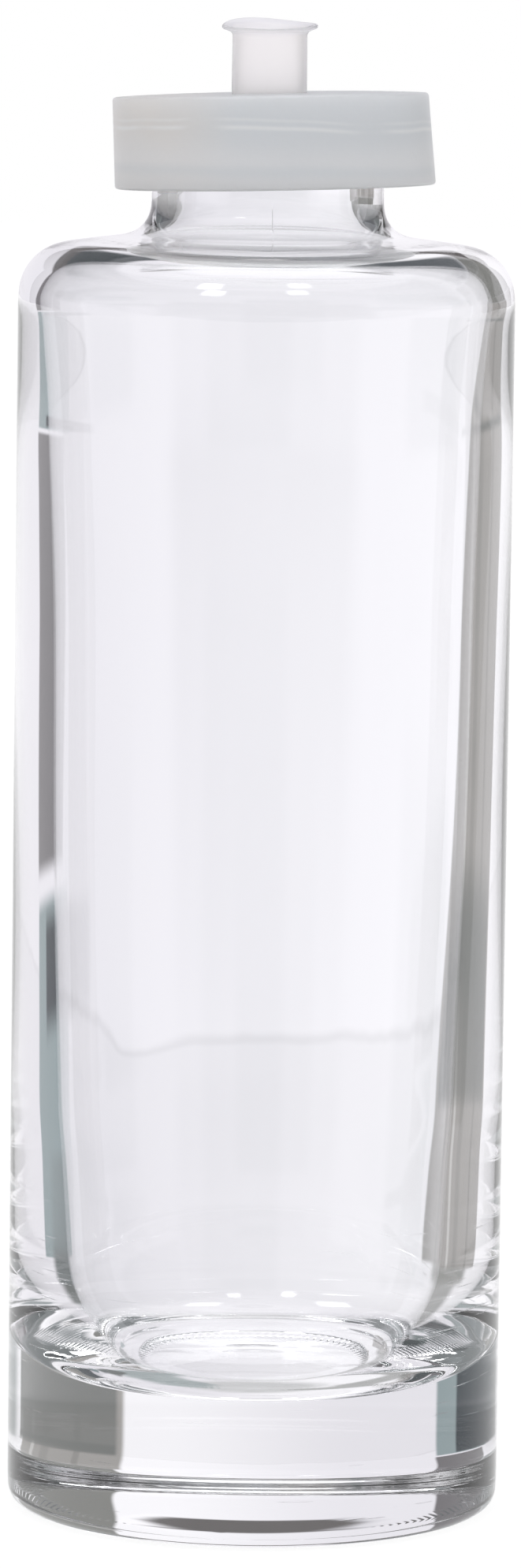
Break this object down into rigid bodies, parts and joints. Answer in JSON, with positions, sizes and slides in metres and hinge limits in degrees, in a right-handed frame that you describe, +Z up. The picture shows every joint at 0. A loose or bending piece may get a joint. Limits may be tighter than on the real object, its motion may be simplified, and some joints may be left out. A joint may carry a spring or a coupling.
{
  "type": "wasp trap",
  "caption": "Heavy clear glass bottle with a thick milky soft cap over its short neck and a flared entry tube through the cap.",
  "frame": {"origin": "centre of the face that the bottle stands on", "axes": "+Z up along the axis that the bottle, cap and tube share; X and Y are equivalent because every piece is round, and the viewer of the front stands at -Y"},
  "size_m": [0.075, 0.075, 0.2253],
  "materials": {
    "clear_glass": "clear, fire polished",
    "milky_silicone": "satin, translucent",
    "translucent_plastic": "translucent"
  },
  "bodies": {
    "bottle": {"glass_bottle": "clear_glass"},
    "cap": {"cap": "milky_silicone"},
    "tube": {"entry_tube": "translucent_plastic"}
  },
  "joints": [
    {"name": "cap_lift", "type": "slide", "parent": "bottle", "child": "cap", "axis": [0, 0, 1], "range_m": [0, 0.035]},
    {"name": "tube_slide", "type": "slide", "parent": "cap", "child": "tube", "axis": [0, 0, 1], "range_m": [-0.008, 0.022]}
  ]
}
